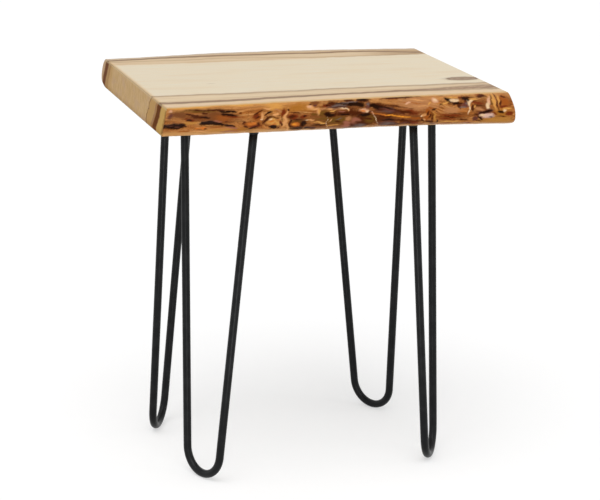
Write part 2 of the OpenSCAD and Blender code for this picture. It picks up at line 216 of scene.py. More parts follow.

# Marks of the front live edge, from the left end to the right end. Each has its distance
# from the slab's middle, its height over the underside, its half length, its half height, its
# tilt in degrees, its colour and its softness from 0, sharp, to 1, faded.
# Its palest, bone-pale marks are painted highlights where the varnish glints, and a few more
# painted marks are noted where they stand.
FRONT_MARKS = (
    # Broad tints, under the rest
    (-172, 28, 34, 10, -6, "walnut", 0.85), (-60, 17, 17, 13, 0, "walnut", 0.85),
    (-5, 22, 46, 19, 0, "walnut", 0.7), (58, 22, 32, 15, -8, "walnut", 0.75),
    (100, 17, 22, 8, -6, "walnut", 0.85), (152, 17, 26, 6, 0, "walnut", 0.9),
    (196, 26, 16, 11, 0, "walnut", 0.85), (222, 20, 16, 8, 0, "bronze", 0.85),
    # The plum mark at the end of the next line is painted shade by the left corner.
    (-222, 33, 11, 5, 0, "walnut", 0.7), (-234, 31, 5, 6, 0, "plum", 0.9),
    (-174, 31, 14, 6, -8, "walnut", 1.0), (-164, 25, 14, 5, -4, "rust", 1.0),
    (-192, 37.5, 36, 2.6, -2, "olive", 0.8), (-205, 20, 12, 2.5, 0, "gold", 0.9),
    (-117, 27, 9, 8, 0, "rust", 0.9), (-95, 38, 14, 4, 0, "honey", 0.9),
    (-62, 36, 20, 6, 0, "bronze", 0.8), (-62, 12, 14, 8, 0, "olive", 0.8),
    (-62, 11, 11, 6, 0, "umber", 0.9), (-8, 17, 22, 6, 0, "olive", 0.8),
    (34, 15, 14, 6, 0, "umber", 0.85), (22, 10, 26, 6, 0, "umber", 0.8),
    (24, 9, 22, 5, 0, "umber", 0.85), (64, 28, 24, 5.4, -12, "umber", 0.75),
    (60, 16, 18, 5, -6, "umber", 0.9), (62, 9.5, 16, 4, 0, "rose", 0.8),
    (66, 9, 24, 4, -4, "umber", 0.85), (40, 17, 30, 5, -8, "umber", 0.95),
    (-30, 9, 40, 4, 0, "walnut", 0.9), (22, 25, 20, 8, 0, "umber", 0.98),
    (20, 8, 20, 3.5, 0, "umber", 0.98), (17, 15, 7, 5, 0, "rose", 0.95),
    (26, 7.5, 9, 3, 0, "slate", 0.9), (38, 16, 10, 5, -6, "olive", 0.9),
    (64, 9, 13, 3, -6, "slate", 0.95), (60, 29, 14, 4, -8, "slate", 0.97),
    (-14, 36, 12, 4, 0, "slate", 0.97), (-28, 27, 9, 5, 0, "olive", 0.9),
    (-200, 27, 34, 5, -4, "walnut", 0.95), (-140, 8, 18, 3.4, 0, "bronze", 0.85),
    (178, 37, 14, 4, 0, "umber", 0.95), (104, 34, 30, 8, -3, "fawn", 0.6),
    (96, 24, 18, 4, -6, "oxblood", 0.8), (98, 10, 18, 4, -4, "oxblood", 0.85),
    (150, 25, 16, 5, 0, "fawn", 0.8), (150, 17, 20, 4, 0, "rust", 0.9),
    (215, 10, 26, 5, 0, "gold", 0.8), (228, 34, 12, 7, 0, "rust", 0.85),
    # Along the rim
    (-205, 42.6, 34, 1.4, 0, "honey", 0.8), (-138, 42.6, 30, 1.4, 0, "honey", 0.8),
    (-96, 42, 16, 1.8, 0, "honey", 0.8), (-14, 39, 14, 3, 0, "umber", 0.8),
    (-39, 41.2, 8, 2.6, 0, "walnut", 0.5), (8, 42, 9, 1.2, 0, "umber", 0.6),
    (27, 42, 12, 3, 0, "umber", 0.6), (28, 42.4, 8, 1.8, 0, "char", 0.6),
    (72, 42.4, 9, 2.4, 0, "rust", 0.7), (84, 42.2, 27, 1.1, 0, "umber", 0.5),
    (96, 42.6, 10, 1.6, 0, "umber", 0.6), (140, 42.4, 4, 1.0, 0, "walnut", 0.7),
    (193, 42.4, 5, 1.6, 0, "rust", 0.6),
    # Left end, up to the first knots
    # The first blush mark on the next line is a painted glint on the corner of the rim.
    (-235, 38.5, 3, 2, -10, "blush", 0.6), (-186, 38, 34, 0.9, -2, "umber", 0.7),
    (-172, 36.8, 14, 1.3, -2, "umber", 0.7), (-208, 32, 6, 1, -7, "umber", 0.5),
    (-188, 33.6, 5, 1.1, -6, "umber", 0.5), (-159, 34.3, 11, 1.4, -4, "char", 0.45),
    (-157, 29.6, 11, 1.9, -8, "umber", 0.5), (-156, 29.4, 9.5, 1.5, -7, "char", 0.4),
    (-141, 32, 3, 0.9, 0, "umber", 0.5), (-194, 28.4, 13, 1.9, -9, "umber", 0.4),
    (-186, 27.2, 7, 1.1, -9, "char", 0.6), (-208, 24.4, 6.5, 2, -6, "oxblood", 0.6),
    (-208.5, 24.2, 3.6, 1.1, -4, "char", 0.4), (-214, 27, 3, 1, 30, "oxblood", 0.6),
    (-226, 15.8, 13.5, 3.8, 2, "umber", 0.4), (-226, 15.6, 13, 3.2, 2, "char", 0.3),
    # The two plum marks on the next line are a painted sheen on the dark pocket.
    (-231, 16.6, 4, 0.6, 3, "plum", 0.7), (-222, 14.6, 3, 0.5, -3, "plum", 0.8),
    (-181, 19, 11.5, 2.6, -3, "char", 0.3), (-167, 16.8, 11, 1.7, -13, "char", 0.35),
    (-153, 13.8, 8.5, 1.8, -12, "umber", 0.4), (-153, 13.8, 7.5, 1.5, -12, "char", 0.35),
    (-170, 21, 6, 1.2, -12, "rose", 0.6), (-150, 10.8, 9, 1.2, -10, "rose", 0.7),
    (-188, 12.6, 5.5, 1.5, -3, "ember", 0.5), (-184.5, 11.4, 2.6, 0.8, -10, "umber", 0.5),
    (-196, 12.2, 3, 0.9, 0, "ember", 0.7), (-158, 21, 2.4, 0.8, 10, "umber", 0.5),
    (-148, 26.4, 13, 0.8, -2, "oxblood", 0.7), (-213, 8, 10, 1.1, 2, "rust", 0.7),
    (-190, 7.4, 18, 0.9, 2, "peach", 0.8), (-165, 8, 22, 2.4, -2, "gold", 0.8),
    (-150, 6, 16, 1.2, 2, "rose", 0.8),
    # Knots left of the middle
    (-135, 16.5, 2.4, 2.8, 30, "umber", 0.5), (-126, 15, 9, 3.6, -4, "rust", 0.6),
    (-127, 15.4, 6, 1.8, -6, "ember", 0.8), (-121, 17, 4, 1.6, 20, "ember", 0.8),
    (-132, 12, 4.5, 0.9, -8, "umber", 0.5), (-118, 12.4, 8, 1.9, 8, "oxblood", 0.45),
    (-121, 10.6, 7, 0.9, 4, "char", 0.5), (-115, 15, 3, 2.4, 40, "umber", 0.5),
    (-119, 27, 5, 3.6, 10, "oxblood", 0.6), (-120, 30.5, 4, 1.3, 30, "umber", 0.5),
    # The peach mark at the end of the next line is a painted highlight, as is the bone-pale mark
    # after it.
    (-117, 25.4, 3.6, 1, 20, "umber", 0.5), (-111, 26, 2, 4.6, -8, "peach", 0.6),
    (-112, 22.4, 1.8, 1.1, 0, "bone_glint", 0.6), (-114, 33, 5, 0.8, 12, "umber", 0.6),
    (-101, 31.8, 4.6, 1.3, 24, "char", 0.45), (-106, 29, 3, 0.9, 30, "umber", 0.5),
    (-106, 21, 2.2, 4.6, -14, "umber", 0.45), (-100, 25.2, 6, 1.2, 2, "umber", 0.45),
    (-92, 24, 5, 0.9, -12, "umber", 0.5), (-98, 19.4, 6, 4.2, 8, "honey", 0.6),
    (-99, 19, 4, 1.8, 10, "ember", 0.8), (-101, 22.4, 3.4, 0.8, 14, "bone_glint", 0.7),
    (-90, 16, 4.6, 2, -28, "honey", 0.6), (-95, 14.8, 5, 0.9, 8, "ember", 0.6),
    (-94, 11.4, 5, 2.6, 3, "char", 0.35), (-85.5, 17.6, 3.6, 1.3, -18, "oxblood", 0.5),
    (-83.5, 14.6, 1.3, 3, 14, "umber", 0.5), (-86, 10, 3.2, 0.9, 24, "umber", 0.5),
    (-83, 31, 2.8, 4.4, 6, "oxblood", 0.6), (-90, 34, 5, 1.1, -16, "fawn", 0.6),
    # The second peach mark on the next line and the first honey mark after it are painted
    # highlights. The tall peach mark after them is a pale band of the wood with a painted
    # highlight in it.
    (-93, 29, 4.6, 1.4, 10, "peach", 0.6), (-104, 36.8, 7, 1, 6, "peach", 0.7),
    (-92, 41, 8, 1.4, 0, "honey", 0.8), (-79, 22, 2.2, 12, -10, "peach", 0.6),
    (-75, 9, 1.8, 8, 24, "peach", 0.7), (-76, 33.6, 2.2, 1.2, -20, "umber", 0.5),
    (-69, 24.4, 7, 3.6, -4, "oxblood", 0.5), (-70, 24.8, 4, 1.6, 0, "umber", 0.5),
    (-72, 16, 2.2, 6, 8, "char", 0.5), (-56, 23.6, 5, 2, 6, "oxblood", 0.5),
    (-54.6, 24.2, 2, 1, 20, "char", 0.5), (-64, 29, 9, 0.8, -8, "umber", 0.6),
    (-72, 14, 2.4, 6, 20, "umber", 0.6), (-62, 19.6, 9, 0.9, -3, "umber", 0.6),
    # The glow mark on the next line is a painted glint in the knot.
    (-63.5, 13, 6.4, 2.4, -5, "ember", 0.7), (-65, 13.2, 3, 1, -5, "glow", 0.8),
    (-53.5, 13, 4.6, 4.4, 10, "umber", 0.5), (-53, 13.4, 3.4, 3.2, 10, "char", 0.5),
    (-60, 7.2, 10, 1.3, 2, "char", 0.6), (-49, 18.6, 4, 0.6, -8, "bone_glint", 0.6),
    (-45, 6.5, 6, 2, 0, "char", 0.6),
    # Middle, with its dark hollows
    (-45, 36.2, 6, 3, -4, "peach", 0.8), (-46, 37, 3, 1, 10, "blush", 0.7),
    (-39, 33.6, 5, 1.2, 4, "peach", 0.6), (-46, 39.4, 3, 0.9, 6, "umber", 0.6),
    (-38, 38.6, 3.2, 1.1, 0, "plum", 0.5), (-34, 30, 3.4, 5, 4, "peach", 0.8),
    (-33, 30, 2, 4, 4, "honey", 0.7), (-40, 26.4, 4.6, 1, -8, "olive", 0.6),
    (-28, 33.4, 5, 1.1, 4, "fawn", 0.6), (-43, 19, 5, 1.4, -8, "peach", 0.65),
    (-34, 15.4, 9, 1, -8, "honey", 0.6), (-26, 13.6, 5, 0.9, 4, "honey", 0.6),
    (-32, 10.8, 10, 1, 2, "char", 0.5), (-41, 6.4, 5, 2, 0, "umber", 0.6),
    (-30, 20, 9, 1, -4, "olive", 0.6), (-22, 36.8, 7, 1.5, -3, "oxblood", 0.45),
    (-20, 36.6, 4, 0.7, -3, "char", 0.5), (14, 36.8, 17, 4, -2, "umber", 0.6),
    (-5, 35.4, 12, 2.2, -2, "slate", 0.7), (3, 38.2, 12, 1.4, -2, "char", 0.5),
    (20, 36.2, 14, 2.4, -3, "char", 0.4), (8, 39.4, 13, 1.0, 3, "slate", 0.7),
    (16, 33.8, 10, 1, -2, "walnut", 0.7), (36, 35, 4, 4.6, -10, "plum", 0.6),
    (35.6, 36, 2.4, 2.6, -20, "slate", 0.7), (52, 32, 15, 3.6, -12, "umber", 0.5),
    (45, 33, 8, 2.6, -12, "char", 0.4), (-19, 32.6, 5.6, 0.9, 6, "peach", 0.7),
    (-6, 31.6, 12, 0.9, -3, "fawn", 0.6), (-1, 32.4, 9, 0.45, -8, "bone_glint", 0.55),
    (9, 29, 2.2, 2, -12, "peach", 0.65), (-8, 34.6, 14, 0.8, 0, "umber", 0.7),
    (6, 31, 4, 0.8, -24, "bone_glint", 0.6), (-17, 25.8, 8.4, 3.9, 4, "umber", 0.4),
    (-19, 25, 6.4, 2.7, 8, "char", 0.5), (-15, 27.6, 5, 0.9, 4, "walnut", 0.7),
    (-17, 29.8, 6, 0.9, 6, "honey", 0.6), (1, 25.4, 10, 2.6, -2, "umber", 0.45),
    (4, 23.8, 6, 1, 0, "char", 0.5), (-2, 28, 5, 0.7, -6, "rose", 0.7),
    (15, 26, 7, 3.4, 0, "umber", 0.6), (15, 23.6, 3, 1.2, 20, "umber", 0.5),
    (22, 25.6, 3, 1.1, 30, "umber", 0.5), (30, 28.4, 8, 2.4, -10, "blush", 0.6),
    (27, 28.4, 5, 1.4, -10, "ember", 0.7), (33, 27, 2.6, 1, -10, "bone_glint", 0.5),
    (37.6, 25.4, 3, 0.9, -20, "umber", 0.5), (31, 22.2, 7.5, 1.8, 0, "char", 0.4),
    (24, 20.4, 4, 0.9, 14, "umber", 0.5), (-21, 13, 8, 0.5, -72, "bone_glint", 0.7),
    (-17, 17, 3, 0.4, 40, "peach", 0.7), (-8, 15.2, 5.4, 1.2, -8, "umber", 0.5),
    (-12, 9.6, 9, 1.3, 2, "gold", 0.6), (-6, 18.6, 6, 0.8, 4, "slate", 0.8),
    (8, 18, 5, 2.8, 0, "fawn", 0.6), (7, 12.6, 6, 2.4, -8, "rose", 0.7),
    (6, 8, 8, 2.6, 0, "rose", 0.7), (24, 12, 7, 1.2, -8, "umber", 0.6),
    (20, 16, 6, 1, -12, "rose", 0.7), (34, 17, 9, 1.2, -8, "umber", 0.6),
    (46.5, 16, 9, 0.42, -58, "bone_glint", 0.7), (42, 24, 3, 0.6, -40, "blush", 0.6),
    # Long streaks right of the middle
    (62, 29.6, 16, 1.7, -12, "char", 0.6), (70, 26.6, 17, 1.3, -13, "plum", 0.6),
    (86, 24.4, 16, 1.8, -7, "umber", 0.6), (64, 34.4, 20, 0.7, -8, "umber", 0.7),
    (84, 30.6, 24, 0.7, -7, "umber", 0.8), (98, 36, 22, 0.6, -4, "rust", 0.8),
    (91, 35.6, 4.6, 1, 12, "blush", 0.65), (104, 38.6, 14, 0.6, -2, "peach", 0.8),
    (112, 31.6, 14, 0.6, -4, "peach", 0.8), (52, 22.6, 12, 0.7, -8, "ember", 0.6),
    (70, 20.2, 10, 0.7, -8, "glow", 0.6), (84, 18, 13, 1, -7, "glow", 0.6),
    (101, 15.6, 10, 1.2, -4, "rust", 0.6), (58, 19.8, 14, 0.9, -8, "umber", 0.5),
    (64, 14.6, 12, 1.2, -5, "char", 0.5), (80, 13.6, 14, 1.2, -8, "umber", 0.5),
    (90, 9.6, 9, 2.2, -4, "umber", 0.6), (88, 9.4, 6, 1.1, -4, "plum", 0.7),
    (70, 7, 8, 1.1, -6, "umber", 0.6), (104, 12, 12, 0.9, -5, "umber", 0.7),
    (131, 37.6, 5.4, 2.6, -12, "blush", 0.6), (132, 38.4, 2.8, 1.1, -12, "bone_glint", 0.6),
    (139, 33.6, 6, 0.9, 22, "umber", 0.6), (143, 35, 6, 0.8, 20, "honey", 0.6),
    (122, 34, 4, 0.7, 40, "honey", 0.6), (119, 24.6, 4.6, 3.6, 20, "rust", 0.6),
    (118, 22, 5, 0.9, 40, "umber", 0.5), (112.6, 18.6, 3, 1.4, 20, "peach", 0.65),
    (110.4, 17.6, 1.2, 0.9, 0, "bone_glint", 0.6), (117, 16, 4.4, 3.2, -20, "rust", 0.6),
    (115, 14, 3, 1, -20, "peach", 0.7), (114, 12.6, 4, 0.9, -30, "umber", 0.5),
    (120, 19, 2.4, 1, 60, "umber", 0.5), (128, 27.2, 1.9, 1.5, 0, "char", 0.45),
    (124, 28.6, 5, 0.8, -10, "rust", 0.6), (127.6, 17, 2, 6, -4, "gold", 0.7),
    (124, 15, 1, 5, 6, "umber", 0.6), (121, 10.8, 5, 1.4, -10, "umber", 0.5),
    (131.4, 11, 1.2, 2.8, 10, "char", 0.5), (126, 7.4, 5, 1, 0, "umber", 0.6),
    (149, 18.4, 16, 1.2, -1, "oxblood", 0.5), (152, 16, 18, 0.9, -2, "umber", 0.65),
    (146, 13.8, 12, 1.2, -2, "oxblood", 0.6), (158, 20.6, 14, 0.6, -3, "umber", 0.7),
    (150, 9.4, 18, 1, 2, "honey", 0.7), (144, 6.6, 16, 0.8, 0, "rust", 0.7),
    # Right end
    (147, 38.4, 4.4, 2, -6, "char", 0.45), (151, 35.6, 4, 1.2, -22, "char", 0.5),
    (159, 33.4, 8.6, 1.5, -5, "umber", 0.45), (160, 33.2, 6, 0.9, -4, "char", 0.5),
    (156, 36.8, 6.6, 1.6, -2, "bone_glint", 0.5), (155, 40.4, 8, 0.9, 2, "honey", 0.6),
    (164, 29.4, 2.4, 3, 10, "umber", 0.5), (166, 40.4, 3.4, 1, 0, "oxblood", 0.5),
    (174, 38.2, 9, 2.6, -4, "umber", 0.45), (174, 38.2, 6.6, 1.5, -4, "char", 0.45),
    (178.6, 36, 3, 1.5, -10, "char", 0.5), (171, 31.4, 6, 2.4, 10, "plum", 0.5),
    (168, 28.4, 5, 1, 0, "slate", 0.6), (173, 32.6, 3, 0.8, 10, "slate", 0.7),
    (180, 34.6, 6.6, 1, 32, "bone_glint", 0.5), (176, 27.6, 0.9, 7, -6, "bone_glint", 0.5),
    (186, 37.4, 6, 0.8, -3, "honey", 0.6), (181, 27, 2.8, 3.6, -24, "umber", 0.5),
    (186, 29, 4, 0.8, 30, "honey", 0.6), (190, 33.2, 9, 1.2, -5, "oxblood", 0.5),
    (192, 30, 7, 0.8, -6, "umber", 0.6), (196, 40, 7.6, 1.7, 0, "umber", 0.5),
    (190, 26, 6, 1.6, -8, "fawn", 0.6), (206.6, 35, 2.4, 4.6, -14, "blush", 0.5),
    (204, 29, 2.8, 3.6, -22, "bone_glint", 0.5), (210.4, 35, 1, 7, 4, "olive", 0.6),
    (198, 22, 11, 2.5, 12, "plum", 0.4), (199, 22.4, 9, 1.6, 12, "char", 0.45),
    (187, 18.6, 4, 1, -20, "umber", 0.5), (200.6, 16.6, 9, 2.9, 4, "ash", 0.45),
    (195, 17.4, 4, 1.2, 6, "bone_glint", 0.5), (206, 15.4, 4, 1.1, 0, "slate", 0.75),
    (184.4, 14, 4, 3, 14, "plum", 0.55), (191.4, 13.4, 5, 1.2, -42, "char", 0.5),
    (190, 9.6, 5, 0.8, -20, "umber", 0.6), (211, 20, 4, 1, -30, "oxblood", 0.6),
    (213.6, 34, 1.8, 8, 3, "honey", 0.55), (217.4, 33, 1, 8.6, 4, "umber", 0.5),
    (220.4, 37, 1.4, 4, -8, "honey", 0.6), (223, 33, 1.8, 3.4, -20, "umber", 0.5),
    (230, 34.4, 6, 4, -20, "rust", 0.8), (226, 28.4, 6, 1.1, 6, "oxblood", 0.5),
    (229, 38.6, 5, 0.7, -8, "umber", 0.6), (229, 25.4, 6, 1.1, 8, "honey", 0.55),
    (221.4, 21.4, 4.6, 1.4, -6, "char", 0.5), (227, 22.6, 2.6, 1.2, 0, "bone_glint", 0.65),
    (232.6, 18.6, 6, 2.4, 0, "oxblood", 0.6), (222, 15.6, 9, 0.8, 0, "umber", 0.7),
    (176, 7, 8, 1.1, 0, "oxblood", 0.7), (166, 12, 10, 0.9, -6, "umber", 0.7),
)

# How far the grain of each live edge has sunk at seven even stations from the left end
FRONT_FALL = (0, 7, 10, 11, 22, 29, 30)
BACK_FALL = (0, 4, 9, 12, 13, 18, 24)

# Knots, broad tints and strokes of the back live edge, drawn at random from this seed: how many,
# and the ranges of their shares of the height, their half sizes, tilts and softness
BACK_SEED = 11
KNOT_COUNT = 9
KNOT_SHARES = (0.25, 0.75)
KNOT_RADII = (4, 10)
TINT_COUNT = 18
TINT_SHARES = (0.2, 0.9)
TINT_LENGTHS = (12, 30)
TINT_HEIGHTS = (3, 7)
TINT_TILTS = (-10, 10)
TINT_SOFTNESS = 0.85
TINT_COLOURS = ("rust", "olive", "gold", "fawn", "umber", "rose")
STROKE_COUNT = 90
STROKE_SHARES = (0.12, 0.95)
STROKE_LENGTHS = (3, 15)
STROKE_HEIGHTS = (0.7, 2.2)
STROKE_TILTS = (-16, 16)
STROKE_SOFTNESS = (0.4, 0.65)
# The palest strokes are painted highlights, like the glints of the front edge.
STROKE_COLOURS = ("char", "char", "umber", "umber", "umber", "oxblood", "oxblood", "plum", "rust",
                  "ember", "honey", "peach", "blush", "bone_glint")


def spread_along(draw, i, count):
    """Distance from the slab's middle of one of a number of things spread unevenly along it."""
    return SLAB_LEN * ((i + draw.uniform(0.1, 0.9)) / count - 0.5)


def back_knots():
    draw = random.Random(BACK_SEED)
    return [(spread_along(draw, i, KNOT_COUNT), draw.uniform(*KNOT_SHARES) * SLAB_T,
             draw.uniform(*KNOT_RADII)) for i in range(KNOT_COUNT)]


def back_marks():
    """Marks of the back live edge: broad tints under dark, warm and pale ones, all along it."""
    draw = random.Random(BACK_SEED + 1)
    marks = []
    for i in range(TINT_COUNT):
        x = spread_along(draw, i, TINT_COUNT)
        colour = draw.choice(TINT_COLOURS)
        marks.append((x, draw.uniform(*TINT_SHARES) * SLAB_T, draw.uniform(*TINT_LENGTHS),
                      draw.uniform(*TINT_HEIGHTS), draw.uniform(*TINT_TILTS), colour,
                      TINT_SOFTNESS))
    for i in range(STROKE_COUNT):
        x = spread_along(draw, i, STROKE_COUNT)
        colour = draw.choice(STROKE_COLOURS)
        half_length = draw.uniform(*STROKE_LENGTHS)
        half_height = draw.uniform(*STROKE_HEIGHTS)
        marks.append((x, draw.uniform(*STROKE_SHARES) * SLAB_T, half_length, half_height,
                      draw.uniform(*STROKE_TILTS), colour, draw.uniform(*STROKE_SOFTNESS)))
    return marks


# The slab's shape: the part's own loft, with finer steps and the relief of the marks

STATION_STEP = 1.0
END_STEPS = 3
RIM_STEPS = 5
FACE_STEPS = 40
ACROSS_STEPS = 10
BORDER = 14
FRONT_SEED = 0
# A knot's length over its height, and how far its rings could reach, in its own radii
KNOT_STRETCH = 1.7
KNOT_FAR = 9.0
# A mark's growth along and across it, and where its colour starts and is full, in its half sizes
MARK_GROWTH = (1.1, 1.3)
MARK_RIM = 1.15
MARK_CORE = 1.1
# How much less a faded mark frays, and how far a mark levels the relief under it
SOFT_FRAY = 0.4
MARK_LEVELS = 0.5
# Noises that move the marks along and up, fray their outlines and roughen the bark, each a sum of
# parts: amount, length and height of the cells, and a number of its own to add to the seed
MARK_WAVE_X = ((3.0, 12, 6, 1), (1.0, 4, 2.5, 2))
MARK_WAVE_Z = ((1.3, 10, 5, 3), (0.5, 3.5, 2, 4))
MARK_FRAY = ((0.26, 6, 1.4, 5), (0.22, 2.2, 1.1, 6))
RELIEF = ((0.35, 14, 4.5, 7), (0.2, 5, 1.9, 8))
# Stands for a place on a live edge below its rim, where distances in over the rim are measured
ON_FACE = -9


def along(values, share):
    """Value at each share of the way along even stations, on a smooth curve through them all."""
    values = np.array(values, float)
    last = len(values) - 1
    at = np.clip(share, 0, 1) * last
    i = np.minimum(np.floor(at).astype(int), last - 1)
    t = at - i
    before, start = values[np.maximum(i - 1, 0)], values[i]
    end, after = values[i + 1], values[np.minimum(i + 2, last)]
    bend = 2 * before - 5 * start + 4 * end - after
    return start + t / 2 * (end - before + t * (bend + t * (3 * (start - end) + after - before)))


def hump(share):
    """Bulge of a live edge at a share of its height: full at the crest, none at the faces."""
    upper = 1 - ((share - CREST) / (1 - CREST)) ** 2
    lower = 1 - (np.maximum(CREST - share, 0) / CREST) ** 3
    return np.where(share > CREST, upper, lower)


def ripples(x, z, phase):
    total = 0
    for part, by_x, by_z, by_phase in RIPPLE_WAVES:
        total = total + part * np.sin(np.radians(by_x * x + by_z * z + by_phase * phase))
    return RIPPLE * total


def edge_setback(x, z, top, bottom, belly, phase):
    """Setback of a live edge, for x from the slab's left end and z over its underside."""
    share, up = x / SLAB_LEN, z / SLAB_T
    line = along(bottom, share) * (1 - up) + along(top, share) * up
    return line - along(belly, share) * hump(up) + ripples(x, z, phase)


def pockets_depth(x, z):
    total = 0
    for share_x, share_z, half_length, half_height, depth in POCKETS:
        dx = (x - share_x * SLAB_LEN) / half_length
        dz = (z - share_z * SLAB_T) / half_height
        total = total + depth * np.exp(-dx * dx - dz * dz)
    return total


def noise_field(x, z, length, height, seed):
    """Smooth noise from -1 to 1 at each point, with cells of this length and height."""
    spots = zip((x / length).flat, (z / height).flat)
    values = [noise.noise(Vector((a, b, seed + 0.5))) for a, b in spots]
    return np.array(values).reshape(x.shape)


def noise_sum(x, z, parts, seed):
    return sum(amount * noise_field(x, z, length, height, seed + number)
               for amount, length, height, number in parts)


class Bark:
    """What a live edge carries at each point (x from the slab's middle, z over its underside)."""

    def __init__(self, x, z, knots, marks, fall, seed):
        self.grain = self.parted_grain(x, z, knots) + along(fall, x / SLAB_LEN + 0.5)
        self.rings = self.knot_rings(x, z, knots)
        moved_x = x + noise_sum(x, z, MARK_WAVE_X, seed)
        moved_z = z + noise_sum(x, z, MARK_WAVE_Z, seed)
        fray = noise_sum(x, z, MARK_FRAY, seed)
        self.colour = np.zeros(x.shape + (3,))
        self.cover = np.zeros(x.shape)
        self.sunk = np.zeros(x.shape)
        for mark in marks:
            self.lay(mark, moved_x, moved_z, fray)
        self.sunk = self.sunk + noise_sum(x, self.grain, RELIEF, seed)

    @staticmethod
    def parted_grain(x, z, knots):
        """Height as the grain sees it: its level lines part before each knot and close behind."""
        grain = np.array(z, float)
        for at_x, at_z, radius in knots:
            dx, dz = (x - at_x) / KNOT_STRETCH, z - at_z
            grain = grain - dz * radius ** 2 / (dx ** 2 + dz ** 2 + radius ** 2)
        return grain

    @staticmethod
    def knot_rings(x, z, knots):
        """Distance from the nearest knot, in its own radii."""
        nearest = np.full(x.shape, KNOT_FAR)
        for at_x, at_z, radius in knots:
            away = np.hypot((x - at_x) / KNOT_STRETCH, z - at_z) / radius
            nearest = np.minimum(nearest, away)
        return nearest

    def lay(self, mark, x, z, fray):
        """Lays one mark over those before it, with an outline frayed along the grain."""
        at_x, at_z, half_length, half_height, tilt, name, softness = mark
        turn = math.radians(tilt)
        dx, dz = x - at_x, z - at_z
        u = (dx * math.cos(turn) + dz * math.sin(turn)) / half_length
        v = (dz * math.cos(turn) - dx * math.sin(turn)) / half_height
        reach = np.hypot(u / MARK_GROWTH[0], v / MARK_GROWTH[1])
        reach = reach + fray * (1 - SOFT_FRAY * softness)
        core = MARK_CORE * (1 - softness)
        share = np.clip((MARK_RIM - reach) / (MARK_RIM - core), 0, 1)
        share = share * share * (3 - 2 * share)
        colour, depth = MARK_COLOURS[name]
        self.colour = self.colour * (1 - share)[..., None] + share[..., None] * paint(colour)[:3]
        self.cover = self.cover * (1 - share) + share
        self.sunk = self.sunk * (1 - MARK_LEVELS * share) + depth * share


def quarter(steps, radius):
    """Quarter round as pairs: the distance gone and the setback that is left."""
    angles = np.linspace(0, math.pi / 2, steps + 1)
    return [(radius * (1 - math.cos(a)), radius * (1 - math.sin(a))) for a in angles]


def slab_levels():
    """Heights up a live edge with the extra setback of its two rounded rims."""
    rim = quarter(RIM_STEPS, RIM_R)
    face = np.linspace(RIM_R, SLAB_T - RIM_R, FACE_STEPS + 1)[1:-1]
    levels = rim + [(z, 0) for z in face] + [(SLAB_T - z, extra) for z, extra in reversed(rim)]
    return np.array(levels)


def slab_stations():
    """Distances from the left end with the shrinkage of the eased ends."""
    ease = quarter(END_STEPS, END_EASE)
    count = math.ceil(SLAB_LEN / STATION_STEP)
    middle = np.linspace(END_EASE, SLAB_LEN - END_EASE, count + 1)[1:-1]
    stations = ease + [(x, 0) for x in middle] + [(SLAB_LEN - x, s) for x, s in reversed(ease)]
    return np.array(stations)


class SlabShape:
    """Grids of the slab's skin: one row a station, one column a level of the live edges."""

    def __init__(self):
        stations, levels = slab_stations(), slab_levels()
        self.x = stations[:, 0]
        self.z = levels[:, 0]
        shrink = stations[:, 1]
        x, z = np.meshgrid(self.x, self.z, indexing="ij")
        extra = levels[None, :, 1]
        front = edge_setback(x, z, FRONT_TOP, FRONT_BOTTOM, FRONT_BELLY, FRONT_PHASE)
        back = edge_setback(x, z, BACK_TOP, BACK_BOTTOM, BACK_BELLY, BACK_PHASE)
        dents = pockets_depth(x, z)
        whole = shrink == 0
        front_least = (front + dents + extra)[whole].min()
        back_least = (back + extra)[whole].min()
        self.front_line = -SLAB_W / 2 + front - front_least
        self.back_line = SLAB_W / 2 - back + back_least
        middle_x = x - SLAB_LEN / 2
        self.front_bark = Bark(middle_x, z, FRONT_KNOTS, FRONT_MARKS, FRONT_FALL, FRONT_SEED)
        self.back_bark = Bark(middle_x, z, back_knots(), back_marks(), BACK_FALL, BACK_SEED)
        face = np.clip(1 - extra / RIM_R, 0, 1)
        front_y = self.front_line + dents + extra + self.front_bark.sunk * face
        back_y = self.back_line - extra - self.back_bark.sunk * face
        keep_y = (1 - 2 * shrink / SLAB_W)[:, None]
        self.front_y = np.maximum(front_y, -SLAB_W / 2) * keep_y
        self.back_y = np.minimum(back_y, SLAB_W / 2) * keep_y
        self.rim = np.where(levels[:, 1] > 0, levels[:, 1], ON_FACE)
        keep_z = (1 - 2 * shrink / SLAB_T)[:, None]
        self.height = SLAB_T / 2 + (z - SLAB_T / 2) * keep_z


def across_shares(width):
    """Shares of the way across the slab, with a narrow border strip along each live edge."""
    border = BORDER / width
    inner = np.linspace(border, 1 - border, ACROSS_STEPS)
    return np.concatenate([[0], inner, [1]])


def grid_faces(numbers, flip):
    """Four-sided faces over a grid of vertex numbers."""
    a, b = numbers[:-1, :-1], numbers[1:, :-1]
    c, d = numbers[1:, 1:], numbers[:-1, 1:]
    order = (a, d, c, b) if flip else (a, b, c, d)
    return np.stack(order, axis=-1).reshape(-1, 4)


def in_scene(thing):
    bpy.context.scene.collection.objects.link(thing)
    return thing


def mesh_object(name, points, faces, materials=None):
    """New object from points in millimetres and faces."""
    mesh = bpy.data.meshes.new(name)
    mesh.from_pydata((np.array(points) * MM).tolist(), [], [list(map(int, f)) for f in faces])
    mesh.update()
    if materials is not None:
        mesh.polygons.foreach_set("material_index", np.array(materials, dtype=np.int32))
    mesh.polygons.foreach_set("use_smooth", [True] * len(mesh.polygons))
    return in_scene(bpy.data.objects.new(name, mesh))


# Kinds of face of the slab, which are also the places of its materials
LONG, END, FRONT, BACK = range(4)


